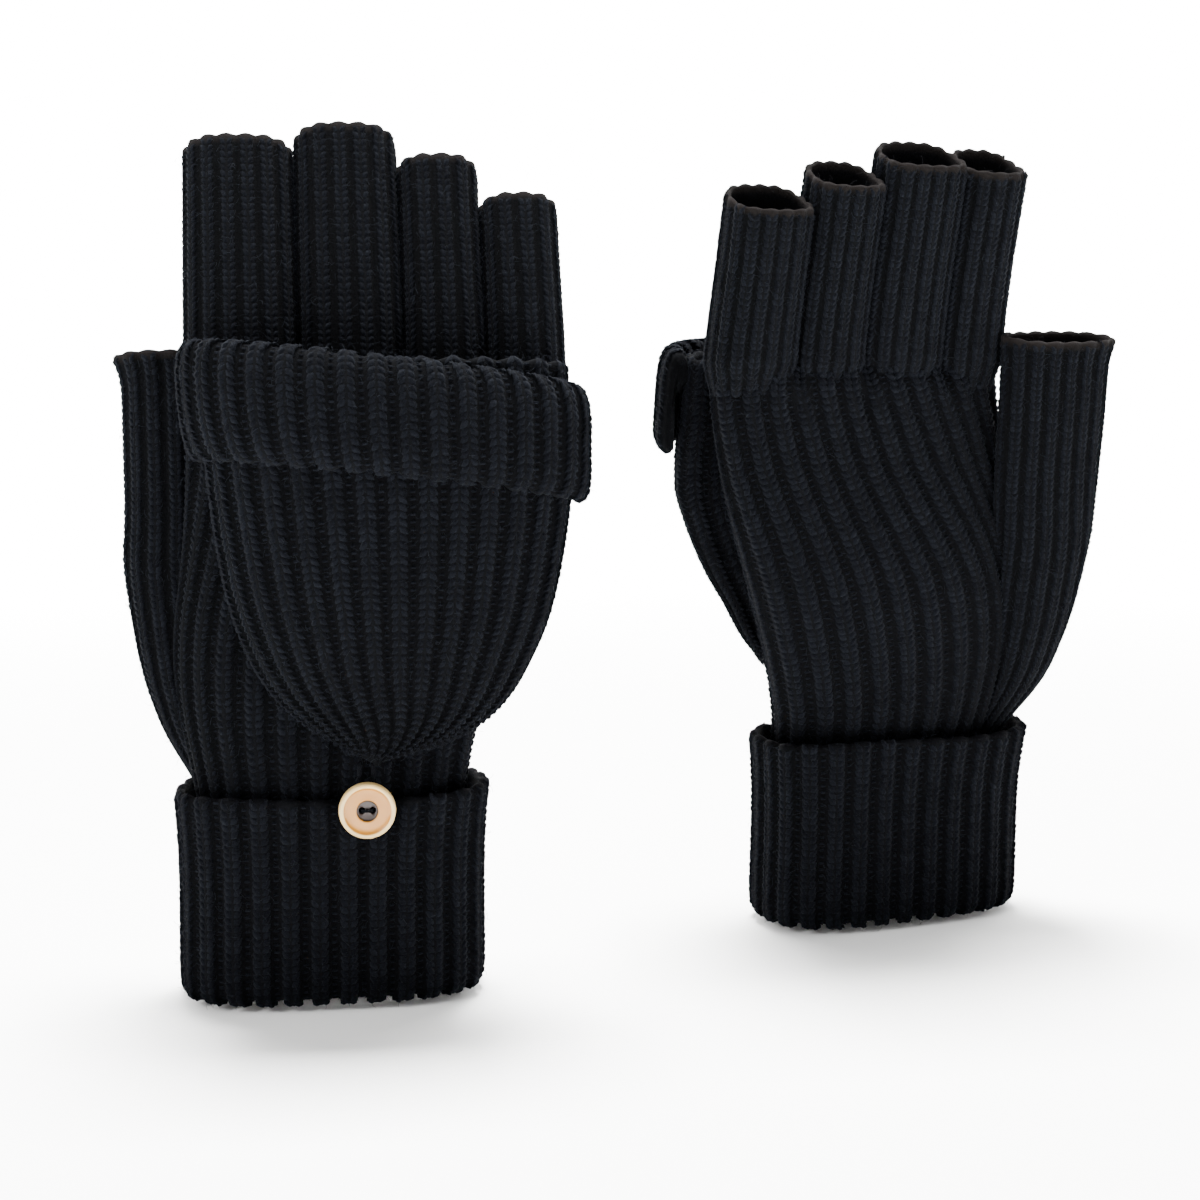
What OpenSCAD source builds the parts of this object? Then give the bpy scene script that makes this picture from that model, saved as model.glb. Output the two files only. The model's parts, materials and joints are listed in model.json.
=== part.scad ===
// A pair of convertible ribbed-knit mittens standing on their turned-up cuffs.
// Each has four open finger tubes and an open thumb tube, and a hood that hangs
// folded back over the back of the hand, looped onto a button on the cuff.
// The hood flips up about the knuckle line and goes over the finger tubes.
// Both are drawn in one hand frame: x from the thumb to the little finger,
// y from the back of the hand to the palm, z up from the fold of the cuff.

/* [Knit] */
// thickness of the ribbed fabric
knit_wall = 2.4; // [1.8:0.1:2.8]
// thickness of the finer fabric of the finger and thumb tubes
tube_wall = 2.0; // [1.5:0.1:2.4]
// number of flats round the hand
hand_sides = 32; // [24:4:40]
// number of flats round a finger
tube_sides = 24; // [16:4:32]

/* [Cuff] */
// width of the turned-up cuff
cuff_width = 76; // [72:1:80]
// depth of the turned-up cuff, back to palm
cuff_depth = 40; // [38:1:44]
// height of the turned-up cuff
cuff_height = 53; // [40:1:55]
// thickness of the turned-up layer
cuff_wall = 3.0; // [2.4:0.1:3.2]

/* [Hand] */
// height of the knuckle line, where the finger tubes start
knuckle_z = 157; // [150:1:162]
// lean of the back of the hand, away from upright
back_lean = 8.6; // [7.5:0.1:9.5]
// lean of the finger tubes towards the palm
finger_lean = 18; // [12:1:22]

/* [Fingers] */
// heights of the index, middle, ring and little tubes at the back
index_top = 215; // [200:1:222]
// top of the middle finger tube
middle_top = 218; // [200:1:224]
// top of the ring finger tube
ring_top = 210; // [195:1:218]
// top of the little finger tube
little_top = 201; // [185:1:210]
// top of the thumb tube
thumb_top = 158; // [148:1:160]

/* [Hood] */
// length of the hood from the knuckle line to its gathered tip
hood_length = 98; // [90:1:99]
// room inside the hood for the fingers, back to palm
hood_room = 21; // [20.6:0.1:24]
// depth of the turned-back ribbed brim
brim_depth = 26; // [16:1:32]
// extra thickness of the brim over the hood
brim_swell = 2.4; // [1.6:0.1:3.2]

/* [Button] */
// diameter of the button
button_size = 13.4; // [12:0.1:15]
// thickness of the button at its rim
button_thick = 3.2; // [2.4:0.1:4]
// height of the centre of the button
button_z = 52; // [48:0.5:52]
// distance of the button from the middle of the cuff
button_x = 7; // [0:0.5:12]
// diameter of the loop cord
loop_cord = 1.5; // [1:0.1:1.6]

/* [Placing] */
// turn of the front mitten about its own upright line
front_turn = 8; // [0:1:12]
// turn of the rear mitten, palm to the front
rear_turn = 202; // [195:1:210]
// sideways distance between the cuffs
pair_gap = 144; // [140:1:170]
// how far the rear mitten stands behind the front one
pair_depth = 67; // [60:1:90]

/* [Hidden] */
shift_x = -73.058;
shift_y = -35.255;
lean_step = tan(back_lean);
finger_step = tan(finger_lean);
hinge_clear = 1.75;            // hinge line to the back of the hand
hinge_y = -2.3;                // hinge line, half a hood layer off the fabric
half_layer = knit_wall / 2;
hood_mid = 10.8;
hood_half = 45.0;              // inside half width of the hood at its mouth
// how far each level of the hood stands from the mouth, its half width there,
// its middle, the share of the full room, and how open it is inside
hood_levels = [
    [0, 1.000, 0.0, 1.00, 1], [0.13, 0.990, 0.2, 1.00, 1], [0.26, 0.955, 0.6, 1.00, 1],
    [0.40, 0.910, 0.9, 0.98, 1], [0.53, 0.855, 1.1, 0.95, 1], [0.65, 0.780, 1.1, 0.90, 1],
    [0.76, 0.670, 1.0, 0.83, 1], [0.85, 0.530, 0.7, 0.74, 1], [0.92, 0.370, 0.2, 0.64, 0.95],
    [0.965, 0.230, -0.4, 0.54, 0.12], [1.00, 0.120, -0.8, 0.48, 0.05]
];
// levels of the hand: height, thumb side, little finger side, thickness
hand_levels = [
    [55, -33.4, 33.4, 29.6], [62, -36.8, 34.6, 30], [70, -41.5, 36.6, 30.4],
    [81, -45.5, 39.4, 31], [92, -47.0, 42.4, 31.2], [103, -44.0, 45.2, 30.2],
    [113, -39.6, 47.6, 28.4], [121, -37.7, 49.4, 26.8], [131, -37.2, 51.6, 24.8],
    [144, -37.0, 54.2, 22.2], [knuckle_z - 0.4, -36.8, 56.0, 20.2]
];
// levels of the thumb gusset: height, middle x and y, half width, half depth
gusset_levels = [
    [74, -38.5, 8.5, 6.5, 8.5], [86, -41.0, 11.5, 9.3, 10.0],
    [97, -42.8, 15.2, 11.0, 10.6], [107, -44.2, 18.0, 11.5, 10.4],
    [117.6, -45.2, 20.8, 11.6, 10.0]
];
cuff_ease = 2;

// rounded outline, e = 2 is an ellipse and larger is squarer
function bend(c, e) = sign(c) * pow(abs(c), 2 / e);
function outline(sides, e) = [for (i = [0:sides - 1])
    [bend(cos(360 * i / sides), e), bend(sin(360 * i / sides), e)]];

// level ring: middle, half widths, slope of the rim from back to palm, crown
function level(shape, x, y, z, hx, hy, fall = 0, crown = 0) =
    [for (p = shape) [x + hx * p[0], y + hy * p[1],
        z - fall * hy * p[1] - crown * p[0] * p[0]]];

// back of the hand at a height, and the height of the dorsal surface of a finger
function back_y(z) = hinge_y + hinge_clear - (knuckle_z - z) * lean_step;
function finger_y(z) = back_y(knuckle_z) + 10 + (z - knuckle_z) * finger_step;

// a closed skin round a list of rings that comes back to its first ring
module sleeve(rings) {
    n = len(rings[0]);
    m = len(rings);
    polyhedron(
        points = [for (r = rings) each r],
        faces = [for (j = [0:m - 1], i = [0:n - 1], k = [0, 1])
            let (a = j * n + i, b = j * n + (i + 1) % n,
                c = ((j + 1) % m) * n + (i + 1) % n, d = ((j + 1) % m) * n + i)
            k == 0 ? [a, c, b] : [a, d, c]]);
}

// a closed skin along a list of rings with a cap on each end
module bar(rings) {
    n = len(rings[0]);
    m = len(rings);
    polyhedron(
        points = [for (r = rings) each r],
        faces = concat(
            [for (j = [0:m - 2], i = [0:n - 1], k = [0, 1])
                let (a = j * n + i, b = j * n + (i + 1) % n,
                    c = (j + 1) * n + (i + 1) % n, d = (j + 1) * n + i)
                k == 0 ? [a, c, b] : [a, d, c]],
            [[for (i = [0:n - 1]) i]],
            [[for (i = [0:n - 1]) m * n - 1 - i]]));
}

// a closed skin along a list of arches, each an outer row and an inner row
module vault(rings) {
    n = len(rings[0]);
    m = len(rings);
    half = n / 2;
    polyhedron(
        points = [for (r = rings) each r],
        faces = concat(
            [for (j = [0:m - 2], i = [0:n - 1], k = [0, 1])
                let (a = j * n + i, b = j * n + (i + 1) % n,
                    c = (j + 1) * n + (i + 1) % n, d = (j + 1) * n + i)
                k == 0 ? [a, c, b] : [a, d, c]],
            [for (i = [0:half - 2], k = [0, 1])
                let (a = i, b = i + 1, c = n - 2 - i, d = n - 1 - i)
                k == 0 ? [a, b, c] : [a, c, d]],
            [for (i = [0:half - 2], k = [0, 1])
                let (s = (m - 1) * n, a = s + i, b = s + i + 1, c = s + n - 2 - i, d = s + n - 1 - i)
                k == 0 ? [a, c, b] : [a, d, c]]));
}

module capsule_shape(width, depth) {
    circle_r = depth / 2;
    run = width / 2 - circle_r;
    union() {
        square([2 * run, depth], center = true);
        translate([run, 0]) circle(r = circle_r, $fn = 64);
        translate([-run, 0]) circle(r = circle_r, $fn = 64);
    }
}

// hand

function hand_ring(l, inset) =
    level(outline(hand_sides, 2.5), (l[1] + l[2]) / 2, back_y(l[0]) + l[3] / 2, l[0],
        (l[2] - l[1]) / 2 - inset, l[3] / 2 - inset);

module hand() {
    color([0.07, 0.08, 0.10])
    sleeve(concat(
        [for (l = hand_levels) hand_ring(l, 0)],
        [for (i = [len(hand_levels) - 1:-1:0]) hand_ring(hand_levels[i], knit_wall)]));
}

module hand_core() {
    bar([for (l = hand_levels) hand_ring(l, -0.05)]);
}

function gusset_ring(l, inset) =
    level(outline(tube_sides, 2.2), l[1], l[2], l[0], l[3] - inset, l[4] - inset);

module gusset() {
    color([0.07, 0.08, 0.10])
    difference() {
        sleeve(concat(
            [for (l = gusset_levels) gusset_ring(l, 0)],
            [for (i = [len(gusset_levels) - 1:-1:0]) gusset_ring(gusset_levels[i], knit_wall)]));
        hand_core();
    }
}

// open finger tube from the knuckle line up, its rim lower on the palm side
module finger(x0, x1, top) {
    mid = (x0 + x1) / 2;
    half = (x1 - x0) / 2;
    shape = outline(tube_sides, 2.7);
    foot = knuckle_z + 0.1;
    rim = top - 4;
    stages = [0, 0.5, 0.92];
    function tube_ring(s, inset) =
        let (z = foot + (rim - foot) * s, f = s > 0.9 ? 1 : 0, ease = 1 - 0.05 * s)
        level(shape, mid, finger_y(z), z, half * ease - inset, (10.1 - 1.2 * s) - inset,
            0.42 * s, 3.2 * f);
    function lip_ring(inset, up) =
        level(shape, mid, finger_y(rim), rim + up, half * 0.95 - inset, 8.9 - inset, 0.42, 3.2);
    color([0.07, 0.08, 0.10])
    sleeve(concat(
        [for (s = stages) tube_ring(s, 0)],
        [lip_ring(-0.05, -0.6), lip_ring(0.9, 0.35), lip_ring(tube_wall, -0.5)],
        [for (i = [2:-1:0]) tube_ring(stages[i], tube_wall)]));
}

module thumb() {
    shape = outline(tube_sides, 2.4);
    stages = [0, 0.5, 0.9, 1];
    foot = 118;
    function thumb_ring(s, inset) =
        level(shape, -45.2 - s - (s == 1 ? 0.4 : 0), 21 + 3 * s, foot + (thumb_top - foot) * s,
            11.4 + (s == 1 ? 0.8 : 0) - inset, 9.9 - 0.8 * s - inset, 0.06 * s, 0.6 * s);
    color([0.07, 0.08, 0.10])
    sleeve(concat(
        [for (s = stages) thumb_ring(s, 0)],
        [for (i = [3:-1:0]) thumb_ring(stages[i], tube_wall)]));
}

// cuff

module cuff_lining() {
    color([0.06, 0.07, 0.09])
    translate([0, 0, 3.1])
    linear_extrude(height = 51.6)
    difference() {
        capsule_shape(66.8, 29.6);
        capsule_shape(66.8 - 2 * knit_wall, 29.6 - 2 * knit_wall);
    }
}

module cuff() {
    color([0.07, 0.08, 0.10])
    union() {
        linear_extrude(height = 3)
        difference() {
            capsule_shape(cuff_width, cuff_depth);
            capsule_shape(62, 24.8);
        }
        linear_extrude(height = cuff_height)
        difference() {
            capsule_shape(cuff_width, cuff_depth);
            capsule_shape(cuff_width - 2 * cuff_wall, cuff_depth - 2 * cuff_wall);
        }
    }
}

// button on its thread shank

front_y = -cuff_depth / 2;
button_back = front_y - loop_cord - 0.9;

module button_place() {
    translate([button_x, front_y, button_z]) rotate([90, 0, 0]) children();
}

module button() {
    r = button_size / 2;
    lift = loop_cord + 0.9;
    color([0.98, 0.78, 0.30])
    button_place()
    difference() {
        translate([0, 0, lift])
        rotate_extrude($fn = 72)
        polygon([[0, 0], [r - 1.2, 0], [r, 1.0], [r, button_thick - 1.0],
            [r - 0.7, button_thick], [r - 1.3, button_thick], [r - 1.7, button_thick - 0.6],
            [2.9, button_thick - 0.4], [2.3, button_thick - 1.2], [0, button_thick - 1.3]]);
        for (s = [-1, 1])
            translate([1.3 * s, 0, 0]) cylinder(r = 0.85, h = 12, $fn = 32);
    }
}

module thread() {
    lift = loop_cord + 0.9;
    bar_z = lift + button_thick - 0.55;
    color([0.05, 0.05, 0.06])
    button_place()
    union() {
        translate([0, 0, -0.8]) cylinder(r = 1.0, h = 0.8 + lift - 0.5, $fn = 32);
        for (s = [-1, 1])
            translate([1.3 * s, 0, lift - 0.4]) cylinder(r = 0.35, h = button_thick - 0.15, $fn = 24);
        translate([-1.3, 0, lift - 0.4]) rotate([0, 90, 0]) cylinder(r = 0.35, h = 2.6, $fn = 24);
        translate([-1.3, 0, bar_z]) rotate([0, 90, 0]) cylinder(r = 0.35, h = 2.6, $fn = 24);
    }
}

// hood, drawn hanging: across, out from the hinge line, and down from it

module hood_place() {
    translate([0, hinge_y, knuckle_z]) rotate([-back_lean, 0, 0]) children();
}

function arch(mid, half, room, low, u, thick, e, core = 1) =
    let (steps = 22,
        outer = [for (i = [0:steps]) let (a = 180 * i / steps)
            [mid + (half + thick) * bend(cos(a), e), low + (room + thick - low) * bend(sin(a), e)]],
        inner = [for (i = [steps:-1:0]) let (a = 180 * i / steps)
            [mid + half * core * bend(cos(a), e), low + (room - low) * core * bend(sin(a), e)]])
    [for (p = concat(outer, inner)) [p[0], -p[1], -u]];

module hood_back() {
    top = 0.9;
    right = [for (l = hood_levels)
        [hood_mid + l[2] + (hood_half + knit_wall) * l[1], -max(top, l[0] * hood_length)]];
    left = [for (i = [len(hood_levels) - 1:-1:0]) let (l = hood_levels[i])
        [hood_mid + l[2] - (hood_half + knit_wall) * l[1], -max(top, l[0] * hood_length)]];
    color([0.07, 0.08, 0.10])
    hood_place()
    translate([0, half_layer, 0])
    rotate([90, 0, 0])
    linear_extrude(height = knit_wall)
    polygon(concat(right, left));
}

module hood_pouch() {
    color([0.07, 0.08, 0.10])
    hood_place()
    vault([for (l = hood_levels)
        arch(hood_mid + l[2], hood_half * l[1], (hood_room + half_layer) * l[3],
            half_layer + 0.05, l[0] * hood_length + 0.2, knit_wall, 3.2 - 0.9 * l[0], l[4])]);
}

module hood_brim() {
    swell = [[-0.2, 0.7], [0.10, 1.0], [0.5, 1.15], [0.88, 1.0], [1, 0.6]];
    color([0.07, 0.08, 0.10])
    hood_place()
    vault([for (s = swell)
        let (u = s[0] < 0 ? 0.2 : s[0] * brim_depth)
        arch(hood_mid + 0.4 * u / brim_depth, hood_half + knit_wall + 0.08,
            hood_room + half_layer + knit_wall + 0.08,
            half_layer + 0.05, u, brim_swell * s[1], 3.15)]);
}

module loop() {
    leg = 9.0;
    color([0.05, 0.05, 0.06])
    translate([button_x, front_y - 0.45 - loop_cord / 2, button_z])
    union() {
        for (s = [-1, 1])
            translate([2.15 * s, 0, 0]) cylinder(r = loop_cord / 2, h = leg, $fn = 24);
        rotate([90, 0, 0]) rotate([0, 0, 180])
        rotate_extrude(angle = 180, $fn = 48) translate([2.15, 0]) circle(r = loop_cord / 2, $fn = 24);
    }
}

// yarn that joins the hood to the knuckle line
module seam() {
    span = 86;
    stitches = 14;
    color([0.05, 0.05, 0.06])
    union() {
        translate([hood_mid - 1 - span / 2, hinge_y, knuckle_z])
        rotate([0, 90, 0]) cylinder(r = 0.5, h = span, $fn = 24);
        for (i = [0:stitches - 1])
            translate([hood_mid - 1 - span / 2 + 2 + i * (span - 4) / (stitches - 1), hinge_y, knuckle_z])
            rotate([-102, 0, 0]) cylinder(r = 0.4, h = 3.4, $fn = 20);
    }
}

module front_place() {
    translate([shift_x, shift_y, 0]) rotate([0, 0, front_turn]) children();
}

module rear_place() {
    translate([shift_x + pair_gap, shift_y + pair_depth, 0]) rotate([0, 0, rear_turn]) children();
}

module mitten_piece(name) {
    if (name == "hand") hand();
    if (name == "gusset") gusset();
    if (name == "cuff_lining") cuff_lining();
    if (name == "cuff") cuff();
    if (name == "index") finger(-36.6, -10.6, index_top);
    if (name == "middle") finger(-9.8, 14.6, middle_top);
    if (name == "ring") finger(15.4, 35.8, ring_top);
    if (name == "little") finger(36.6, 55.8, little_top);
    if (name == "thumb") thumb();
    if (name == "seam") seam();
    if (name == "thread") thread();
    if (name == "button") button();
    if (name == "hood_back") hood_back();
    if (name == "hood_pouch") hood_pouch();
    if (name == "hood_brim") hood_brim();
    if (name == "loop") loop();
}

module front_hand() { front_place() mitten_piece("hand"); }
module front_gusset() { front_place() mitten_piece("gusset"); }
module front_cuff_lining() { front_place() mitten_piece("cuff_lining"); }
module front_cuff() { front_place() mitten_piece("cuff"); }
module front_index() { front_place() mitten_piece("index"); }
module front_middle() { front_place() mitten_piece("middle"); }
module front_ring() { front_place() mitten_piece("ring"); }
module front_little() { front_place() mitten_piece("little"); }
module front_thumb() { front_place() mitten_piece("thumb"); }
module front_seam() { front_place() mitten_piece("seam"); }
module front_thread() { front_place() mitten_piece("thread"); }
module front_button() { front_place() mitten_piece("button"); }
module front_hood_back() { front_place() mitten_piece("hood_back"); }
module front_hood_pouch() { front_place() mitten_piece("hood_pouch"); }
module front_hood_brim() { front_place() mitten_piece("hood_brim"); }
module front_loop() { front_place() mitten_piece("loop"); }
module rear_hand() { rear_place() mitten_piece("hand"); }
module rear_gusset() { rear_place() mitten_piece("gusset"); }
module rear_cuff_lining() { rear_place() mitten_piece("cuff_lining"); }
module rear_cuff() { rear_place() mitten_piece("cuff"); }
module rear_index() { rear_place() mitten_piece("index"); }
module rear_middle() { rear_place() mitten_piece("middle"); }
module rear_ring() { rear_place() mitten_piece("ring"); }
module rear_little() { rear_place() mitten_piece("little"); }
module rear_thumb() { rear_place() mitten_piece("thumb"); }
module rear_seam() { rear_place() mitten_piece("seam"); }
module rear_thread() { rear_place() mitten_piece("thread"); }
module rear_button() { rear_place() mitten_piece("button"); }
module rear_hood_back() { rear_place() mitten_piece("hood_back"); }
module rear_hood_pouch() { rear_place() mitten_piece("hood_pouch"); }
module rear_hood_brim() { rear_place() mitten_piece("hood_brim"); }
module rear_loop() { rear_place() mitten_piece("loop"); }

front_hand();
front_gusset();
front_cuff_lining();
front_cuff();
front_index();
front_middle();
front_ring();
front_little();
front_thumb();
front_seam();
front_thread();
front_button();
front_hood_back();
front_hood_pouch();
front_hood_brim();
front_loop();
rear_hand();
rear_gusset();
rear_cuff_lining();
rear_cuff();
rear_index();
rear_middle();
rear_ring();
rear_little();
rear_thumb();
rear_seam();
rear_thread();
rear_button();
rear_hood_back();
rear_hood_pouch();
rear_hood_brim();
rear_loop();
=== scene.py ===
import json
import math
import bpy
import bmesh
import numpy as np
from mathutils import Matrix, Vector


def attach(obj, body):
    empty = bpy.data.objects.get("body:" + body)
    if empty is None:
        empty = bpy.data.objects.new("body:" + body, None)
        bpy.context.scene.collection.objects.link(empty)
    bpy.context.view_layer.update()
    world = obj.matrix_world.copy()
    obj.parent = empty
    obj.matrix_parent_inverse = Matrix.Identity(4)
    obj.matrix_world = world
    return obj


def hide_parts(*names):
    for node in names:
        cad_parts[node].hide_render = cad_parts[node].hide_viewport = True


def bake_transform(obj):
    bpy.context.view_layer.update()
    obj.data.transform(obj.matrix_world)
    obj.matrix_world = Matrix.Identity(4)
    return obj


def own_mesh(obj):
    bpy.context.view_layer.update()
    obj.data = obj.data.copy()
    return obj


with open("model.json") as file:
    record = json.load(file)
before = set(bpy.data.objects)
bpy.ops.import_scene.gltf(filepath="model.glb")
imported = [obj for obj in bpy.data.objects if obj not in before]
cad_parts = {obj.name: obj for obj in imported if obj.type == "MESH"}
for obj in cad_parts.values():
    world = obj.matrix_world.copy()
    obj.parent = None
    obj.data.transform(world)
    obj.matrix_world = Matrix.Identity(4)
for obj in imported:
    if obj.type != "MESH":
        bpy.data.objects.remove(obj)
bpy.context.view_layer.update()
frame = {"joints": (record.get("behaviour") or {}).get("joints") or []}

# every size below is in millimetres, in the hand's own frame: x from thumb to little finger,
# y from the back of the hand to the palm, z up from the fold of the cuff
kneeZ = 157.0
hingeY = -2.3
backLean = math.radians(8.6)
fingerLean = math.tan(math.radians(18))


def addNode(tree, kind, inputs=None, **settings):
    node = tree.nodes.new(kind)
    for key, value in settings.items():
        setattr(node, key, value)
    for key, value in (inputs or {}).items():
        if isinstance(value, bpy.types.NodeSocket):
            tree.links.new(value, node.inputs[key])
        else:
            node.inputs[key].default_value = value
    return node


def hexColour(text):
    parts = [int(text[i:i + 2], 16) / 255 for i in (1, 3, 5)]
    return tuple(c / 12.92 if c <= 0.04045 else ((c + 0.055) / 1.055) ** 2.4 for c in parts) + (1.0,)


def placing(side):
    hinge = next(j for j in frame["joints"] if j["name"] == side + "_hood_flip")
    ax, ay = hinge["axis"][0], hinge["axis"][1]
    turn = Matrix.Rotation(math.atan2(-ay, -ax), 4, "Z")
    foot = Vector(hinge["pos_m"]) - turn @ Vector((0.0098, hingeY / 1000, kneeZ / 1000))
    return Matrix.Translation(foot) @ turn


places = {side: placing(side) for side in ("front", "rear")}

# how each worn mitten sways: height, sideways shift and stretch across
sway = {"front": [(0, -1.5, 1.0), (50, -1.0, 1.0), (70, 0.0, 1.0), (110, 1.0, 1.0), (157, 2.4, 1.02), (220, 1.9, 1.015)],
        "rear": [(0, -3.2, 1.03), (40, -3.6, 1.03), (60, -4.4, 1.05), (80, -4.0, 1.04), (100, -1.8, 1.02), (122, 1.0, 0.985),
                 (150, 3.8, 0.93), (180, 5.6, 0.905), (220, 7.0, 0.90)]}


def smoothRows(table, x):
    t = np.array(table, float)
    fine = np.linspace(t[0, 0], t[-1, 0], 111)
    rough = [np.interp(fine, t[:, 0], t[:, i]) for i in (1, 2)]
    soft = np.hanning(15) / np.hanning(15).sum()
    return [np.interp(x, fine, np.convolve(np.pad(v, 7, "edge"), soft, "valid")) for v in rough]


def toRow(side, points, swaying=True):
    m = np.array(places[side])
    p = np.array(points, float)
    if swaying:
        shift, stretch = smoothRows(sway[side], p[:, 2])
        p[:, 0] = 10 + (p[:, 0] - 10) * stretch + shift
    return (p / 1000) @ m[:3, :3].T + m[:3, 3]


# surfaces

def smoothTable(table, x):
    t = np.asarray(table, float)
    k = t[:, 0]
    slopes = np.gradient(t[:, 1:], k, axis=0)
    i = int(np.clip(np.searchsorted(k, x) - 1, 0, len(k) - 2))
    h = k[i + 1] - k[i]
    s = np.clip((x - k[i]) / h, 0, 1)
    a, b, c, d = 2 * s**3 - 3 * s**2 + 1, s**3 - 2 * s**2 + s, -2 * s**3 + 3 * s**2, s**3 - s**2
    return a * t[i, 1:] + b * h * slopes[i] + c * t[i + 1, 1:] + d * h * slopes[i + 1]


def oval(cx, cy, hx, hy, e, steps=360):
    a = np.linspace(0, 2 * np.pi, steps, endpoint=False) + np.pi  # starts at the thumb side
    c, s = np.cos(a), np.sin(a)
    return np.stack([cx + hx * np.sign(c) * np.abs(c) ** (2 / e),
                     cy + hy * np.sign(s) * np.abs(s) ** (2 / e)], 1)


def evenRing(points, count, crowd=None):
    p = np.vstack([points, points[:1]])
    step = np.linalg.norm(np.diff(p, axis=0), axis=1)
    if crowd is not None:
        step = step * crowd
    d = np.r_[0, np.cumsum(step)]
    t = np.linspace(0, d[-1], count, endpoint=False)
    return np.stack([np.interp(t, d, p[:, i]) for i in range(p.shape[1])], 1)


def evenRow(points, count):
    d = np.r_[0, np.cumsum(np.linalg.norm(np.diff(points, axis=0), axis=1))]
    t = np.linspace(0, d[-1], count)
    return np.stack([np.interp(t, d, points[:, i]) for i in range(points.shape[1])], 1)


def gridNormals(grid, closed):
    if closed:
        across = np.roll(grid, -1, 1) - np.roll(grid, 1, 1)
    else:
        across = np.gradient(grid, axis=1)
    along = np.gradient(grid, axis=0)
    n = np.cross(across, along)
    return n / np.maximum(np.linalg.norm(n, axis=2, keepdims=True), 1e-9)


def ribShape(count, perRib, depth, openEnded=False):
    n = count * perRib + (1 if openEnded else 0)
    f = (np.arange(n) / perRib) % 1.0
    return depth * (0.5 - 0.5 * np.cos(2 * np.pi * f)) ** 0.7


def makeMesh(name, verts, faces, attributes=None):
    mesh = bpy.data.meshes.new(name)
    mesh.from_pydata([tuple(v) for v in verts], [], faces)
    for key, values in (attributes or {}).items():
        mesh.attributes.new(key, "FLOAT", "POINT").data.foreach_set("value", np.asarray(values, np.float32))
    bm = bmesh.new()
    bm.from_mesh(mesh)
    bmesh.ops.recalc_face_normals(bm, faces=bm.faces[:])
    bm.to_mesh(mesh)
    bm.free()
    mesh.polygons.foreach_set("use_smooth", [True] * len(mesh.polygons))
    obj = bpy.data.objects.new(name, mesh)
    bpy.context.scene.collection.objects.link(obj)
    return obj


# a knit shell: the grid is the fabric's outer face, row by row along its length
def knitShell(name, side, grid, wall, ribs, closed=True, tipClosed=False, highlightRows=(), swaying=True):
    normals = gridNormals(grid, closed)
    rows, cols = grid.shape[:2]
    h = ribs if np.ndim(ribs) == 2 else np.tile(np.asarray(ribs)[None, :], (rows, 1))
    depth = float(np.max(h))
    outer = grid + normals * (h - depth)[..., None]
    wallRow = np.broadcast_to(np.asarray(wall, float).reshape(-1, 1), (rows, cols))
    inner = grid - normals * (depth + wallRow)[..., None]
    along = np.gradient(grid, axis=0)
    along = along / np.maximum(np.linalg.norm(along, axis=2, keepdims=True), 1e-9)

    def lip(k, sign):
        out, inn = outer[k], inner[k]
        mid = (out + inn) / 2
        half = (out - inn) / 2
        r = np.linalg.norm(half, axis=1, keepdims=True)
        return [mid + half * math.cos(a) + sign * along[k] * r * math.sin(a)
                for a in (math.pi / 4, math.pi / 2, 3 * math.pi / 4)]

    loop = [outer[i] for i in range(rows)]
    # shade is painted shade for the ground colour: paler on the rib crests, darker in the furrows and on the inner face
    shade = [h[i] / max(depth, 1e-6) for i in range(rows)]
    outside = [np.ones(cols)] * rows
    if tipClosed:
        loop += [inner[i] for i in range(rows - 1, -1, -1)]
        shade += [np.full(cols, 0.25)] * rows
        outside += [np.zeros(cols)] * rows
    else:
        loop += lip(rows - 1, 1) + [inner[i] for i in range(rows - 1, -1, -1)]
        shade += [h[-1] / max(depth, 1e-6)] * 3 + [np.full(cols, 0.25)] * rows
        outside += [np.ones(cols)] * 3 + [np.zeros(cols)] * rows
    firstLip = lip(0, -1)[::-1]
    loop += firstLip
    shade += [h[0] / max(depth, 1e-6)] * 3
    outside += [np.ones(cols)] * 3
    loops = np.array(loop)
    m = len(loops)
    verts = loops.reshape(-1, 3)
    faces = []
    for j in range(m):
        if tipClosed and j == rows - 1:
            continue
        k = (j + 1) % m
        for i in range(cols if closed else cols - 1):
            n = (i + 1) % cols
            faces.append((j * cols + i, j * cols + n, k * cols + n, k * cols + i))
    if tipClosed:
        verts = np.vstack([verts, outer[-1].mean(0), inner[-1].mean(0)])
        for row, hub in ((rows - 1, len(verts) - 2), (rows, len(verts) - 1)):
            for i in range(cols):
                faces.append((row * cols + i, row * cols + (i + 1) % cols, hub))
        shade.append(np.array([0.3, 0.2]))
        outside.append(np.array([1.0, 0.0]))
    if not closed:
        for i in (0, cols - 1):
            hub = len(verts)
            verts = np.vstack([verts, loops[:, i].mean(0)])
            faces += [(j * cols + i, ((j + 1) % m) * cols + i, hub) for j in range(m)]
            shade.append(np.array([0.5]))
            outside.append(np.array([1.0]))
    edge = np.zeros(len(verts))
    if highlightRows:  # rows of the outer face at the opening that get a painted highlight, a paler rim colour
        flat = np.zeros(m)
        flat[rows - highlightRows[0]:rows + 4] = highlightRows[1]
        edge[:m * cols] = np.repeat(flat, cols)
    return makeMesh(name, toRow(side, verts, swaying), faces,
                    {"paintedRibShade": np.concatenate([np.ravel(s) for s in shade]),
                     "outside": np.concatenate([np.ravel(o) for o in outside]), "rim": edge})


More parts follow.
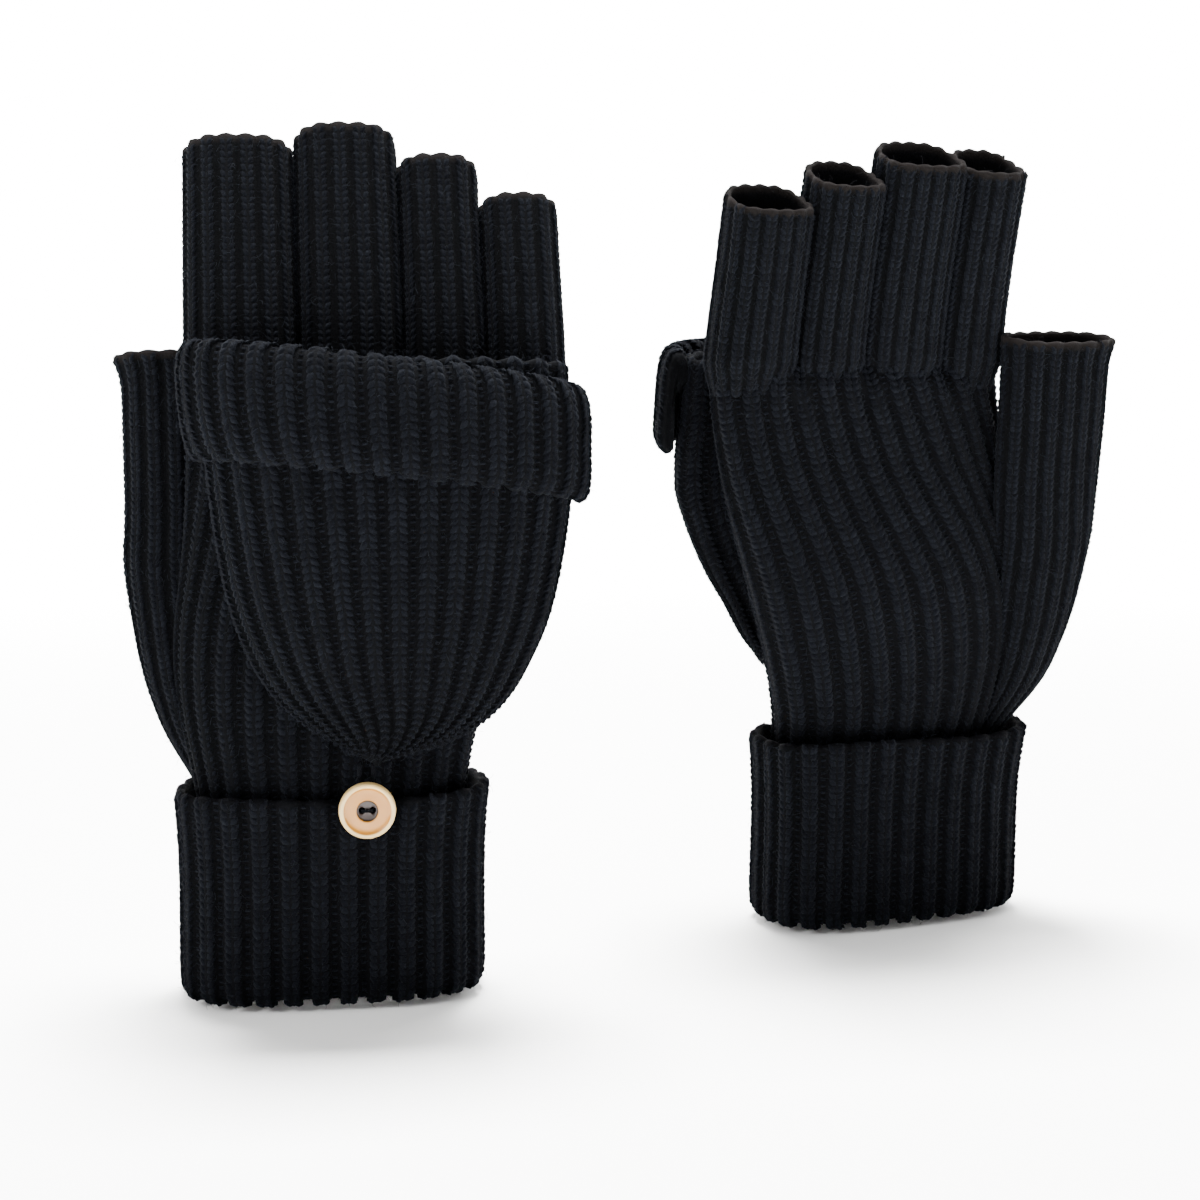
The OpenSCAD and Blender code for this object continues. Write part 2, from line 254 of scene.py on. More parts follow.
# points along each rib's crest, one for each stitch, carrying its facing and its width
def stitchPoints(side, grid, columns, pitch, wide, closed=True, trim=(0.0, 0.0), smallest=0.3, lift=0.0, swaying=True):
    normals = gridNormals(grid, closed)
    cols = grid.shape[1]
    spots, outs, ups, sizes = [], [], [], []
    for c, halfSpan in columns:
        left = grid[:, (c - halfSpan) % cols if closed else max(c - halfSpan, 0)]
        right = grid[:, (c + halfSpan) % cols if closed else min(c + halfSpan, cols - 1)]
        path = grid[:, c % cols]
        d = np.r_[0, np.cumsum(np.linalg.norm(np.diff(path, axis=0), axis=1))]
        t = np.arange(trim[0], d[-1] - trim[1], pitch)
        if not len(t):
            continue
        at = lambda rows: np.stack([np.interp(t, d, rows[:, i]) for i in range(3)], 1)
        p, n = at(path), at(normals[:, c % cols])
        span = np.interp(t, d, np.linalg.norm(right - left, axis=1)) / wide
        u = np.gradient(p, axis=0) if len(t) > 1 else np.tile(path[-1] - path[0], (1, 1))
        keep = span > smallest
        spots.append((p + n * lift)[keep])
        outs.append(n[keep])
        ups.append(u[keep])
        sizes.append(np.clip(span, 0, 1.25)[keep])
    spots, outs, ups, sizes = map(np.concatenate, (spots, outs, ups, sizes))
    turn = np.array(places[side])[:3, :3]
    mesh = bpy.data.meshes.new("stitchSpots")
    mesh.from_pydata([tuple(v) for v in toRow(side, spots, swaying)], [], [])
    for key, values in (("out", outs), ("up", ups)):
        values = values / np.maximum(np.linalg.norm(values, axis=1, keepdims=True), 1e-9)
        mesh.attributes.new(key, "FLOAT_VECTOR", "POINT").data.foreach_set(
            "vector", (values @ turn.T).astype(np.float32).ravel())
    mesh.attributes.new("wide", "FLOAT", "POINT").data.foreach_set("value", sizes.astype(np.float32))
    return mesh


# geometry node trees

def newTree(name, sockets):
    tree = bpy.data.node_groups.new(name, "GeometryNodeTree")
    tree.interface.new_socket("Geometry", in_out="OUTPUT", socket_type="NodeSocketGeometry")
    tree.interface.new_socket("Geometry", in_out="INPUT", socket_type="NodeSocketGeometry")
    for label, kind, value in sockets:
        socket = tree.interface.new_socket(label, in_out="INPUT", socket_type=kind)
        if value is not None:
            socket.default_value = value
    return tree, addNode(tree, "NodeGroupInput"), addNode(tree, "NodeGroupOutput")


def yarnLeg(tree, ends, steps, rounds):
    path = addNode(tree, "GeometryNodeCurveQuadraticBezier",
                   {"Resolution": steps, "Start": ends[0], "Middle": ends[1], "End": ends[2]})
    where = addNode(tree, "GeometryNodeSplineParameter")
    swell = addNode(tree, "ShaderNodeMath", {0: where.outputs["Factor"], 1: math.pi}, operation="MULTIPLY")
    swell = addNode(tree, "ShaderNodeMath", {0: swell.outputs[0]}, operation="SINE")
    swell = addNode(tree, "ShaderNodeMath", {0: swell.outputs[0], 1: 0.11, 2: 0.08}, operation="MULTIPLY_ADD")
    ring = addNode(tree, "GeometryNodeCurvePrimitiveCircle", {"Resolution": rounds, "Radius": 1.0})
    return addNode(tree, "GeometryNodeCurveToMesh",
                   {"Curve": path.outputs[0], "Profile Curve": ring.outputs[0], "Fill Caps": True,
                    "Scale": swell.outputs[0]}).outputs[0]


# yarn laid on every point: a V of two legs for a plain stitch, one short arc for a purl
def stitchTree(name, paths):
    tree, source, sink = newTree(name, [
        ("Stitch Width", "NodeSocketFloat", 0.0045), ("Stitch Height", "NodeSocketFloat", 0.003),
        ("Stitch Relief", "NodeSocketFloat", 0.0016), ("Leg Steps", "NodeSocketInt", 4),
        ("Leg Sides", "NodeSocketInt", 5), ("Unevenness", "NodeSocketFloat", 0.10),
        ("Seed", "NodeSocketInt", 1), ("Yarn", "NodeSocketMaterial", None)])
    legs = [yarnLeg(tree, ends, source.outputs["Leg Steps"], source.outputs["Leg Sides"]) for ends in paths]
    pair = addNode(tree, "GeometryNodeJoinGeometry")
    for leg in legs:
        tree.links.new(leg, pair.inputs[0])
    size = addNode(tree, "ShaderNodeCombineXYZ", {0: source.outputs["Stitch Width"],
                                                  1: source.outputs["Stitch Height"], 2: source.outputs["Stitch Relief"]})
    stitch = addNode(tree, "GeometryNodeTransform", {"Geometry": pair.outputs[0], "Scale": size.outputs[0]})
    tone = addNode(tree, "FunctionNodeRandomValue", {2: 0.0, 3: 1.0, "Seed": source.outputs["Seed"]}, data_type="FLOAT")
    toned = addNode(tree, "GeometryNodeStoreNamedAttribute",
                    {"Geometry": source.outputs["Geometry"], "Name": "tone", "Value": tone.outputs[1]},
                    data_type="FLOAT", domain="POINT")
    out = addNode(tree, "GeometryNodeInputNamedAttribute", {"Name": "out"}, data_type="FLOAT_VECTOR")
    up = addNode(tree, "GeometryNodeInputNamedAttribute", {"Name": "up"}, data_type="FLOAT_VECTOR")
    wide = addNode(tree, "GeometryNodeInputNamedAttribute", {"Name": "wide"}, data_type="FLOAT")
    facing = addNode(tree, "FunctionNodeAxesToRotation", {0: out.outputs[0], 1: up.outputs[0]},
                     primary_axis="Z", secondary_axis="Y")
    swing = addNode(tree, "ShaderNodeMath", {0: source.outputs["Unevenness"], 1: -1.0}, operation="MULTIPLY")
    low = addNode(tree, "ShaderNodeCombineXYZ", {0: swing.outputs[0], 1: swing.outputs[0], 2: swing.outputs[0]})
    high = addNode(tree, "ShaderNodeCombineXYZ", {0: source.outputs["Unevenness"], 1: source.outputs["Unevenness"],
                                                  2: source.outputs["Unevenness"]})
    nudge = addNode(tree, "FunctionNodeRandomValue",
                    {0: low.outputs[0], 1: high.outputs[0], "Seed": source.outputs["Seed"]}, data_type="FLOAT_VECTOR")
    tilt = addNode(tree, "FunctionNodeEulerToRotation", {0: nudge.outputs[0]})
    turned = addNode(tree, "FunctionNodeRotateRotation", {0: facing.outputs[0], 1: tilt.outputs[0]}, rotation_space="LOCAL")
    laid = addNode(tree, "GeometryNodeInstanceOnPoints",
                   {"Points": toned.outputs[0], "Instance": stitch.outputs[0],
                    "Rotation": turned.outputs[0], "Scale": wide.outputs[0]})
    real = addNode(tree, "GeometryNodeRealizeInstances", {0: laid.outputs[0]})
    smooth = addNode(tree, "GeometryNodeSetShadeSmooth", {0: real.outputs[0]})
    named = addNode(tree, "GeometryNodeSetMaterial", {0: smooth.outputs[0], "Material": source.outputs["Yarn"]})
    tree.links.new(named.outputs[0], sink.inputs[0])
    return tree


# loose fibre ends that stand off the outer face of the fabric
def fuzzTree():
    tree, source, sink = newTree("looseFibres", [
        ("Density", "NodeSocketFloat", 200000.0), ("Fibre Length", "NodeSocketFloat", 0.0022),
        ("Fibre Width", "NodeSocketFloat", 0.00003), ("Seed", "NodeSocketInt", 1), ("Yarn", "NodeSocketMaterial", None)])
    outside = addNode(tree, "GeometryNodeInputNamedAttribute", {"Name": "outside"}, data_type="FLOAT")
    chosen = addNode(tree, "FunctionNodeCompare", {0: outside.outputs[0], 1: 0.5}, data_type="FLOAT", operation="GREATER_THAN")
    spots = addNode(tree, "GeometryNodeDistributePointsOnFaces",
                    {"Mesh": source.outputs["Geometry"], "Selection": chosen.outputs[0],
                     "Density": source.outputs["Density"], "Seed": source.outputs["Seed"]})
    path = addNode(tree, "GeometryNodeCurveQuadraticBezier",
                   {"Resolution": 2, "Start": (0, 0, -0.15), "Middle": (0.15, 0.1, 0.55), "End": (0.75, 0.05, 0.5)})
    long = addNode(tree, "GeometryNodeTransform", {"Geometry": path.outputs[0]})
    size = addNode(tree, "ShaderNodeCombineXYZ", {0: source.outputs["Fibre Length"], 1: source.outputs["Fibre Length"],
                                                  2: source.outputs["Fibre Length"]})
    tree.links.new(size.outputs[0], long.inputs["Scale"])
    ring = addNode(tree, "GeometryNodeCurvePrimitiveCircle", {"Resolution": 3, "Radius": source.outputs["Fibre Width"]})
    fibre = addNode(tree, "GeometryNodeCurveToMesh",
                    {"Curve": long.outputs[0], "Profile Curve": ring.outputs[0], "Fill Caps": True})
    spin = addNode(tree, "FunctionNodeRandomValue",
                   {0: (-0.5, -0.5, -3.14), 1: (0.5, 0.5, 3.14), "Seed": source.outputs["Seed"]}, data_type="FLOAT_VECTOR")
    tilt = addNode(tree, "FunctionNodeEulerToRotation", {0: spin.outputs[0]})
    turned = addNode(tree, "FunctionNodeRotateRotation", {0: spots.outputs["Rotation"], 1: tilt.outputs[0]},
                     rotation_space="LOCAL")
    grow = addNode(tree, "FunctionNodeRandomValue", {2: 0.35, 3: 1.25, "Seed": source.outputs["Seed"]}, data_type="FLOAT")
    laid = addNode(tree, "GeometryNodeInstanceOnPoints",
                   {"Points": spots.outputs["Points"], "Instance": fibre.outputs[0],
                    "Rotation": turned.outputs[0], "Scale": grow.outputs[1]})
    real = addNode(tree, "GeometryNodeRealizeInstances", {0: laid.outputs[0]})
    named = addNode(tree, "GeometryNodeSetMaterial", {0: real.outputs[0], "Material": source.outputs["Yarn"]})
    tree.links.new(named.outputs[0], sink.inputs[0])
    return tree


def runTree(tree, name, mesh, values):
    holder = bpy.data.objects.new(name + "Holder", mesh)
    bpy.context.scene.collection.objects.link(holder)
    modifier = holder.modifiers.new("make", "NODES")
    modifier.node_group = tree
    for item in tree.interface.items_tree:
        if getattr(item, "in_out", "") == "INPUT" and item.name in values:
            modifier[item.identifier] = values[item.name]
    graph = bpy.context.evaluated_depsgraph_get()
    made = bpy.data.meshes.new_from_object(holder.evaluated_get(graph), preserve_all_data_layers=True, depsgraph=graph)
    bpy.data.objects.remove(holder)
    made.name = name
    obj = bpy.data.objects.new(name, made)
    bpy.context.scene.collection.objects.link(obj)
    return obj


# materials

# wool and acrylic yarn, spun, knitted and brushed by wear: no gloss, a pale bloom at grazing angles
def woolYarn(name, deep, pale, bloom, attribute, mix=(0.07, 0.20, 0.85), rim="#1a1715"):
    mat = bpy.data.materials.new(name)
    mat.use_nodes = True
    tree = mat.node_tree
    tree.nodes.clear()
    place = addNode(tree, "ShaderNodeTexCoord").outputs["Object"]
    fibre = addNode(tree, "ShaderNodeTexNoise",
                    {"Vector": place, "Scale": 2400.0, "Detail": 3.0, "Roughness": 0.7})  # 0.4 mm tufts
    patch = addNode(tree, "ShaderNodeTexNoise", {"Vector": place, "Scale": 60.0, "Detail": 2.0})  # 17 mm heather patches
    # the attribute is a random tone for the stitches; on the ground it is painted shade, paler on the rib crests and
    # darker in the furrows and inside
    tone = addNode(tree, "ShaderNodeAttribute", attribute_name=attribute)
    mixed = addNode(tree, "ShaderNodeMath", {0: patch.outputs["Fac"], 1: mix[0], 2: -0.05}, operation="MULTIPLY_ADD")
    mixed = addNode(tree, "ShaderNodeMath", {0: tone.outputs["Fac"], 1: mix[1], 2: mixed.outputs[0]}, operation="MULTIPLY_ADD")
    mixed = addNode(tree, "ShaderNodeMath", {0: fibre.outputs["Fac"], 1: mix[2], 2: mixed.outputs[0]}, operation="MULTIPLY_ADD")
    ramp = addNode(tree, "ShaderNodeValToRGB", {0: mixed.outputs[0]})
    ramp.color_ramp.elements[0].position = 0.20
    ramp.color_ramp.elements[0].color = hexColour(deep)
    ramp.color_ramp.elements[1].position = 0.80
    ramp.color_ramp.elements[1].color = hexColour(pale)
    # painted highlight: the rim attribute mixes a paler brownish colour into the lips of the openings
    rimHighlight = addNode(tree, "ShaderNodeAttribute", attribute_name="rim")
    tint = addNode(tree, "ShaderNodeMix",
                   {0: rimHighlight.outputs["Fac"], 6: ramp.outputs["Color"], 7: hexColour(rim)}, data_type="RGBA")
    bump = addNode(tree, "ShaderNodeBump", {"Height": fibre.outputs["Fac"], "Strength": 0.9, "Distance": 0.0005})
    skin = addNode(tree, "ShaderNodeBsdfPrincipled", {"Base Color": tint.outputs[2], "Normal": bump.outputs[0],
                                                      "Roughness": 0.95, "Specular IOR Level": 0.015,
                                                      "Sheen Weight": bloom, "Sheen Roughness": 0.45,
                                                      "Sheen Tint": hexColour("#c9d2e0")})
    addNode(tree, "ShaderNodeOutputMaterial", {"Surface": skin.outputs[0]})
    return mat


ribbedYarn = woolYarn("ribbed wool yarn", "#020203", "#0f1115", 0.012, "tone")
# the ground between the ribs gets painted shade: paler on the rib crests, darker in the furrows and on the inner face
groundYarn = woolYarn("wool ground between ribs, with painted shade in the furrows", "#020202", "#090a0c", 0.008, "paintedRibShade")
fuzzYarn = woolYarn("loose wool fibres", "#0c0d10", "#262a30", 0.02, "tone")
threadYarn = woolYarn("black sewing thread", "#030304", "#0d0e11", 0.012, "tone")

legPath = ((0.03, -0.86, -0.40), (0.19, 0.0, 0.74), (0.32, 0.92, -0.36))  # from the foot of the V to its top
stitches = stitchTree("plainStitches", [[(s * x, y, z) for x, y, z in legPath] for s in (-1, 1)])
purls = stitchTree("purlStitches", [[(-0.52, -0.16, -0.25), (0.0, 0.30, 0.50), (0.52, -0.16, -0.25)]])
fuzz = fuzzTree()
print("node trees ready")

bodies = {side: {"mitten": side + "_mitten", "hood": side + "_hood", "thumb": side + "_thumb_part",
                 "button": side + "_button_part"} for side in ("front", "rear")}


def layYarn(name, side, tree, grid, columns, form, seed, key="stitch", sides=4, steps=3, **options):
    spots = stitchPoints(side, grid, columns, form["row"], form["stitchWide"], **options)
    w, h, r = form[key]
    return runTree(tree, side + name, spots,
                   {"Stitch Width": w / 1000, "Stitch Height": h / 1000, "Stitch Relief": r / 1000,
                    "Leg Steps": steps, "Leg Sides": sides, "Seed": seed, "Yarn": ribbedYarn})


def ribColumns(form, phase):
    return [(i * form["perRib"] + int(phase * form["perRib"]), form["perRib"] // 2) for i in range(form["ribs"])]


def growFuzz(side, name, fabric, density, seed):
    return runTree(fuzz, side + name + "Fuzz", fabric.data.copy(),
                   {"Density": density * 1e6, "Seed": seed, "Yarn": fuzzYarn})


def setMaterial(obj, mat):
    obj.data.materials.clear()
    obj.data.materials.append(mat)


fuzzForm = dict(rib=0.15, fine=0.2)  # loose ends on each square millimetre

# hand and lining

handForm = dict(ribs=26, perRib=8, depth=1.5, wall=1.6, row=1.8, stitch=(5.9, 1.8, 2.5), purl=(2.6, 1.9, 1.3), stitchWide=8.0)

# height, left and right edge, thickness
handLevels = [
    (4, -33.0, 33.0, 29.0), (30, -33.0, 33.0, 29.4), (50, -33.4, 33.4, 30), (60, -35.6, 34.4, 30.4), (70, -38.2, 36.6, 30.6),
    (81, -39.8, 39.6, 31), (92, -40.0, 42.6, 31.2), (103, -39.0, 45.4, 30.2), (113, -38.0, 47.8, 28.4),
    (121, -37.4, 49.6, 26.8), (131, -37.0, 51.8, 24.8), (144, -36.8, 54.2, 22.4), (161, -36.4, 55.6, 20.0)]


def backY(z):
    return hingeY + 1.75 - (kneeZ - max(z, 52)) * math.tan(backLean)


def handRing(side, z, count):
    x0, x1, thick = smoothTable(handLevels, z)
    cy = backY(z) + thick / 2
    sunk = 3.0 * np.clip((z - 152) / 8, 0, 1)  # the top goes down inside the finger tubes
    ring = oval((x0 + x1) / 2, cy, (x1 - x0) / 2 - sunk, thick / 2 - sunk, 2.5, 480)
    pinch = np.clip((z - 138) / 20, 0, 1) ** 1.5
    for f in forks[side]:
        ring[:, 1] = cy + (ring[:, 1] - cy) * (1 - np.exp(-((ring[:, 0] - f) / 2.4) ** 2) * 0.34 * pinch)
    # ribs crowd together under the thumb and spread out again above it
    crowding = np.interp(z, [50, 100, 112, 130, 152], [0.75, 0.75, 0.6, 0.25, 0.0])
    middle = (ring + np.roll(ring, -1, 0)) / 2
    far = np.linalg.norm(middle - np.array([x0 + 3, cy + 6]), axis=1)
    even = evenRing(ring, count, 1 + crowding * np.exp(-(far / 19) ** 4))
    return np.c_[even, np.full(len(even), z)]


def buildHand(side, seed):
    form = handForm
    cols = form["ribs"] * form["perRib"]
    levels = np.r_[np.linspace(4, 50, 10), np.linspace(53, 161, 56)]
    grid = np.array([handRing(side, z, cols) for z in levels])
    fade = np.clip((160 - levels) / 12, 0.35, 1)[:, None]
    ribs = ribShape(form["ribs"], form["perRib"], form["depth"])[None, :] * fade
    fabric = knitShell(side + "HandFabric", side, grid, form["wall"], ribs)
    setMaterial(fabric, groundYarn)
    show = (levels >= 47) & (levels < 158)
    yarn = layYarn("HandStitches", side, stitches, grid[show], ribColumns(form, 0.5), form, seed, lift=-0.55)
    dips = layYarn("HandPurls", side, purls, grid[show], ribColumns(form, 0), form, seed, "purl", 4, 3, lift=-1.45)
    return [fabric, yarn, dips, growFuzz(side, "Hand", fabric, fuzzForm["rib"], seed)]


print("hand form ready")


# fingers and thumb

tubeForm = dict(perRib=6, depth=0.9, wall=1.15, row=1.7, pitch=5.1, stitchWide=5.1, stitch=(4.1, 1.7, 1.9))
# left and right edge and height of each finger tube
fingers = {"front": {"index": (-36.6, -9.0, 213.8), "middle": (-9.4, 16.2, 217.0),
                     "ring": (15.7, 36.4, 209.4), "little": (35.9, 56.0, 199.8)},
           "rear": {"index": (-36.6, -15.6, 212.6), "middle": (-16.6, 10.2, 214.0),
                    "ring": (9.4, 31.8, 208.6), "little": (31.0, 56.4, 202.4)}}
forks = {side: [tubes["index"][1] / 2 + tubes["middle"][0] / 2, tubes["middle"][1] / 2 + tubes["ring"][0] / 2,
                tubes["ring"][1] / 2 + tubes["little"][0] / 2] for side, tubes in fingers.items()}


def tubeGrid(x0, x1, top, cols):
    mid, half, foot, rim = (x0 + x1) / 2, (x1 - x0) / 2, 149.0, top - 3.6
    rings = []
    for z in np.linspace(foot, rim, 36):
        s = np.clip((z - kneeZ) / (rim - kneeZ), 0, 1)
        tuck = np.clip((kneeZ - z) / 8, 0, 1)  # the foot of the tube goes down inside the hand
        flat = oval(0, 0, 1, 1, 2.6)
        waist = 0.5 * math.sin(math.pi * s) * math.sin(4.0 + mid)  # no two tubes stand quite alike
        hx = half * (1 - 0.035 * s) - 2.4 * tuck + 0.35 + waist * 0.5
        hy = 10.1 - 1.1 * s - 2.6 * tuck + 0.2
        bend = np.clip((z - 146) / 26, 0, 1)  # the lean comes in gently over the knuckles
        y = backY(kneeZ) + 10.2 + (z - kneeZ) * fingerLean + 1.9 * (1 - bend) ** 2
        rings.append(evenRing(np.c_[mid + hx * flat[:, 0], y + hy * flat[:, 1],
                                    z - 0.42 * s * hy * flat[:, 1] - 0.8 * s**3 * np.abs(flat[:, 0]) ** 4], cols))
    return np.array(rings)


# the gusset and thumb in one tube: height, middle, half widths, then how much the spread thumb adds
# height, middle across, middle through, half width, half depth, then shift and widening of the far thumb
thumbLevels = [(46, -26, 3, 5.5, 7.0, -1.0, 0.0), (54, -29.0, 4.2, 6.0, 7.6, -3.6, 0.4),
               (67, -34.0, 7.5, 8.6, 9.6, -4.8, 0.8), (79, -37, 10.5, 10.2, 10.6, -3.8, 1.2),
               (94, -39, 13.8, 11.6, 10.6, -2.8, 2.0), (109, -40.2, 17.0, 12.4, 10.0, -2.0, 2.8),
               (119, -40.0, 18.8, 12.2, 9.4, -1.6, 3.6), (139, -40.0, 21.0, 12.2, 8.8, -1.4, 4.3),
               (163, -40.0, 22.6, 12.4, 8.4, -1.4, 4.4)]


def thumbGrid(side, cols):
    rings = []
    top = 162.8 if side == "rear" else 158.8
    for z in np.r_[np.linspace(46, 118, 34), np.linspace(120, top, 22)]:
        cx, cy, hx, hy, more, wider = smoothTable(thumbLevels, z)
        spread = side == "rear"
        k = np.clip((z - 118) / 40, 0, 1)
        flare = 1.2 * np.clip((z - top + 8) / 8, 0, 1) ** 2
        cx += more if spread else 0.6 * np.clip((z - 70) / 30, -0.8, 1)
        hx += wider if spread else 0
        hy *= 1 - 0.22 * np.clip((z - 90) / 40, 0, 1) if spread else 1
        flat = oval(0, 0, 1, 1, 2.3)
        rings.append(evenRing(np.c_[cx - 0.5 * flare + (hx + flare) * flat[:, 0], cy + hy * flat[:, 1],
                                    z - 0.22 * k * hy * flat[:, 1] - (0.8 if not spread else -0.03 * hx * flat[:, 0]) * k
                                    * np.abs(flat[:, 0]) ** 3], cols))
    return np.array(rings)


def buildTube(side, name, grid, ribs, seed, swaying=True):
    form = tubeForm
    shape = ribShape(ribs, form["perRib"], form["depth"])
    # the last row, the lip and the first inner row at the opening get the painted highlight at half strength
    fabric = knitShell(side + name + "Fabric", side, grid, form["wall"], shape, highlightRows=(1, 0.5), swaying=swaying)
    setMaterial(fabric, groundYarn)
    crests = [(i * form["perRib"] + 3, 3) for i in range(ribs)]
    yarn = layYarn(name + "Stitches", side, stitches, grid, crests, form, seed, "stitch", 4, 3,
                   trim=(0, 0.7), lift=-0.45, swaying=swaying)
    normals = gridNormals(grid, True)
    lining = (grid - normals * (form["depth"] + form["wall"] - 0.1))[-9:, ::-1]
    inside = layYarn(name + "LiningStitches", side, stitches, lining, crests, form, seed, "stitch", 4, 2,
                     trim=(0, 0.9), lift=-0.5, swaying=swaying)
    return [fabric, yarn, inside, growFuzz(side, name, fabric, fuzzForm["fine"], seed)]


def ringLength(ring):
    return float(np.linalg.norm(np.roll(ring, -1, 0) - ring, axis=1).sum())


def buildFinger(side, name, seed):
    x0, x1, top = fingers[side][name]
    ribs = int(round(ringLength(tubeGrid(x0, x1, top, 60)[16]) / tubeForm["pitch"]))
    return buildTube(side, name.capitalize(), tubeGrid(x0, x1, top, ribs * tubeForm["perRib"]), ribs, seed)


def buildThumb(side, seed):
    ribs = int(round(ringLength(thumbGrid(side, 60)[40]) / tubeForm["pitch"]))
    return buildTube(side, "Thumb", thumbGrid(side, ribs * tubeForm["perRib"]), ribs, seed, swaying=False)


# cuff

cuffForm = dict(ribs=28, perRib=8, depth=1.5, wall=1.4, row=1.8, stitch=(5.3, 1.8, 2.4), purl=(2.3, 1.9, 1.3), stitchWide=7.1)
# path of the turned-up layer: how far inside the outer face, and height
cuffPath = [(5.2, 9.0), (5.1, 5.0), (4.6, 2.4), (3.6, 0.9), (2.4, 0.35), (1.3, 0.9), (0.5, 2.4), (0.15, 4.6),
            (0.0, 9.0), (0.1, 18), (0.2, 28), (0.1, 38), (-0.3, 46), (-0.7, 50.5), (-0.8, 52.6)]


def buildCuff(side, seed):
    form = cuffForm
    cols = form["ribs"] * form["perRib"]
    path = evenRow(np.array(cuffPath, float), 44)
    rings = []
    for inset, z in path:
        ring = oval(0, 0, 38.2 - inset, 20 - inset, 3.0)
        rings.append(evenRing(np.c_[ring, np.full(len(ring), z + 1.3 * math.exp(-z / 5))], cols))
    grid = np.array(rings)
    wave = 0.5 * np.sin(np.linspace(0, 2 * np.pi, cols, endpoint=False) * 3 + seed)
    top = np.clip((grid[..., 2] - 40) / 12, 0, 1)
    grid[..., 2] += wave[None, :] * top
    furrow = 0.5 + 0.5 * np.cos(2 * np.pi * np.arange(cols) / form["perRib"])
    grid[..., 2] += 0.9 * furrow[None, :] * np.exp(-grid[..., 2] / 2.5)  # the fold is scalloped by the ribs
    fabric = knitShell(side + "CuffFabric", side, grid, form["wall"], ribShape(form["ribs"], form["perRib"], form["depth"]))
    setMaterial(fabric, groundYarn)
    yarn = layYarn("CuffStitches", side, stitches, grid, ribColumns(form, 0.5), form, seed, lift=-0.5)
    dips = layYarn("CuffPurls", side, purls, grid, ribColumns(form, 0), form, seed, "purl", 4, 3, lift=-1.4)
    return [fabric, yarn, dips, growFuzz(side, "Cuff", fabric, fuzzForm["rib"], seed)]


# hood

hoodForm = dict(ribs=27, perRib=8, depth=1.5, wall=1.3, row=1.8, stitch=(5.3, 1.8, 2.4), purl=(2.3, 1.9, 1.3), stitchWide=7.1)
# down from the hinge line, left and right edge, thickness outwards
hoodLevels = [(0, -32.5, 55.0, 22.0), (15, -32.0, 55.6, 23.0), (30, -30.6, 56.6, 22.6), (46, -28.4, 55.2, 21.2),
              (55, -26.6, 53.6, 20.0), (63, -24.2, 51.4, 18.6), (73, -19.8, 47.0, 16.4), (80, -15.0, 43.0, 14.6),
              (86.5, -8.0, 37.0, 12.6), (90, -3.0, 31.6, 11.4), (93.5, 2.6, 23.6, 10.2), (96, 6.6, 14.4, 9.2)]
hoodSlack = {"front": 0.0, "rear": 6.5}  # how much the little-finger side draws in
brimHang = {"front": (0.4, -0.12, 0.0), "rear": (2.6, 0.0, 1.2)}  # lift, tilt and extra bulge of the turned-back band


def hoodPoint(w, v, u):
    # across, out from the hinge line, down from it
    c, s = math.cos(backLean), math.sin(backLean)
    return np.stack([w, hingeY - v * c - u * s, kneeZ - u * c + v * s], -1)


def hoodRing(side, u, extra=0.0):
    left, right, thick = smoothTable(hoodLevels, u)
    right -= hoodSlack[side] * np.clip((u - 38) / 30, 0, 1) * np.clip((98 - u) / 14, 0.2, 1)
    a = np.linspace(0, 2 * np.pi, 480, endpoint=False) + np.pi
    e = 2.7 - 0.006 * u
    c, s = np.cos(a), np.sin(a)
    w = (left + right) / 2 + ((right - left) / 2 + extra) * np.sign(c) * np.abs(c) ** (2 / e)
    v = np.where(s > 0, 0.9 + (thick - 0.9 + extra) * np.abs(s) ** (2 / e), 0.9 - 2.05 * np.abs(s) ** 0.5)
    return w, v


def buildHood(side, seed):
    form = hoodForm
    cols = form["ribs"] * form["perRib"]
    rings = []
    for u in np.r_[np.linspace(0.8, 86, 40), np.linspace(87.5, 96, 8)]:
        w, v = hoodRing(side, u)
        rings.append(evenRing(hoodPoint(w, v, np.full(len(w), u)), cols))
    grid = np.array(rings)
    fade = np.clip(np.linalg.norm(grid[:, 4] - grid[:, 0], axis=1) / 2.4, 0.1, 1)[:, None]
    ribs = ribShape(form["ribs"], form["perRib"], form["depth"])[None, :] * fade
    wall = np.linspace(form["wall"], form["wall"] * 0.8, len(grid))
    fabric = knitShell(side + "HoodFabric", side, grid, wall, ribs, tipClosed=True)
    setMaterial(fabric, groundYarn)
    yarn = layYarn("HoodStitches", side, stitches, grid, ribColumns(form, 0.5), form, seed, lift=-0.5, smallest=0.22)
    dips = layYarn("HoodPurls", side, purls, grid, ribColumns(form, 0), form, seed, "purl", 4, 3, lift=-1.4, smallest=0.6)
    return [fabric, yarn, dips, growFuzz(side, "Hood", fabric, fuzzForm["rib"], seed)]


brimForm = dict(ribs=18, perRib=8, depth=1.4, wall=1.2, row=1.8, stitch=(5.3, 1.8, 2.4), purl=(2.3, 1.9, 1.3), stitchWide=7.1)
# path of the turned-back brim: how far outside the hood, and how far down
brimPath = [(-2.6, 8.0), (-2.3, 4.4), (-1.4, 1.6), (0.2, 0.1), (2.4, -0.3), (4.2, 0.9), (5.2, 3.6), (5.7, 8.0),
            (5.6, 14.0), (5.4, 20.0), (4.8, 25.0), (3.6, 27.8), (2.0, 28.4)]


